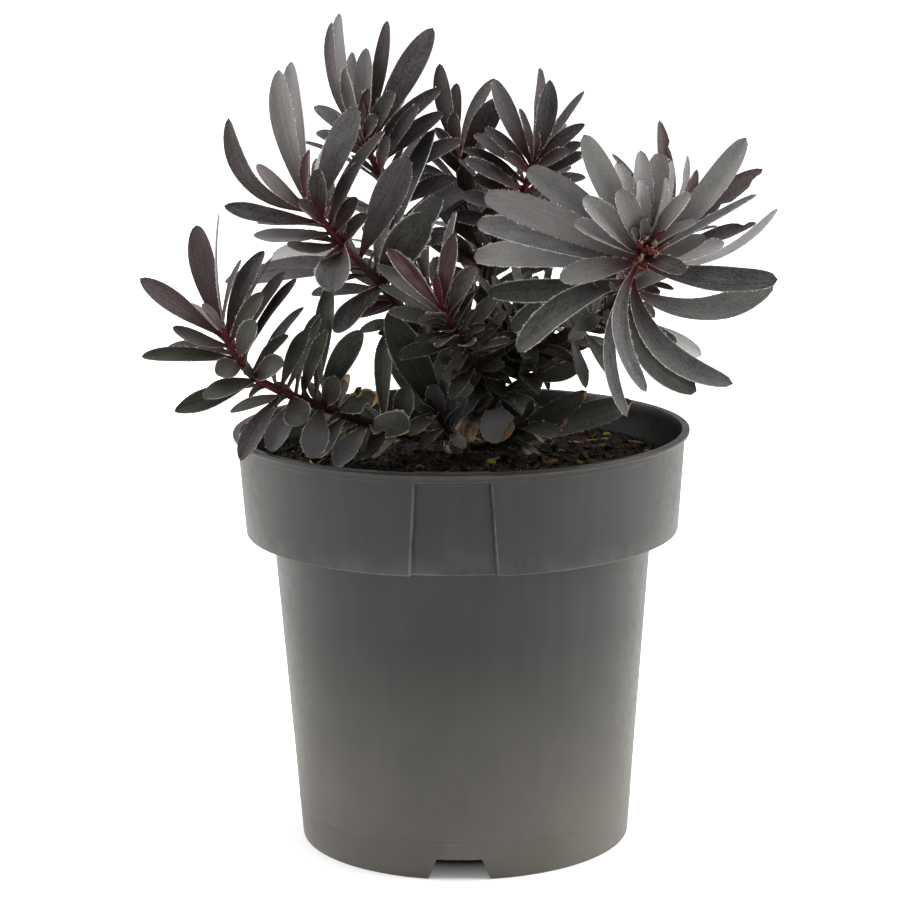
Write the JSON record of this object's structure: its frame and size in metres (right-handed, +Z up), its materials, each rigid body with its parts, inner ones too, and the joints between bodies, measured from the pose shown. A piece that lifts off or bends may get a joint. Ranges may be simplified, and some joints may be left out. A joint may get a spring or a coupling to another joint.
{
  "type": "potted leucadendron",
  "caption": "Potted leucadendron: a leafy evergreen shrub on a short forked trunk, standing in potting mix in a round tapered nursery pot with a stepped band.",
  "frame": {"origin": "centre of the pot's base, on the surface that the pot stands on", "axes": "+Z up along the pot's axis; the recessed panel that faces the viewer is towards -Y; +X is to the viewer's right"},
  "size_m": [0.2674, 0.2084, 0.3614],
  "materials": {
    "pot_plastic": "matt moulded polypropylene, fine texture",
    "potting_mix": "damp composted bark and peat",
    "bark": "fibrous bark, red-brown above and tan at the base",
    "foliage": "thick velvety leaves, charcoal with a burgundy tint"
  },
  "bodies": {
    "root": {"pot": "pot_plastic", "soil": "potting_mix", "trunk": "bark", "shoot_right_rosette": "foliage", "shoot_upper_left": "foliage", "shoot_low_left": "foliage", "shoot_top": "foliage", "shoot_upper_right": "foliage", "shoot_front_centre": "foliage", "shoot_behind_top": "foliage", "shoot_right_behind": "foliage", "shoot_inner_right": "foliage", "shoot_low_right": "foliage", "shoot_low_twig": "foliage", "shoot_low_front": "foliage", "shoot_back_left": "foliage", "shoot_back": "foliage", "shoot_back_right": "foliage"}
  },
  "joints": []
}
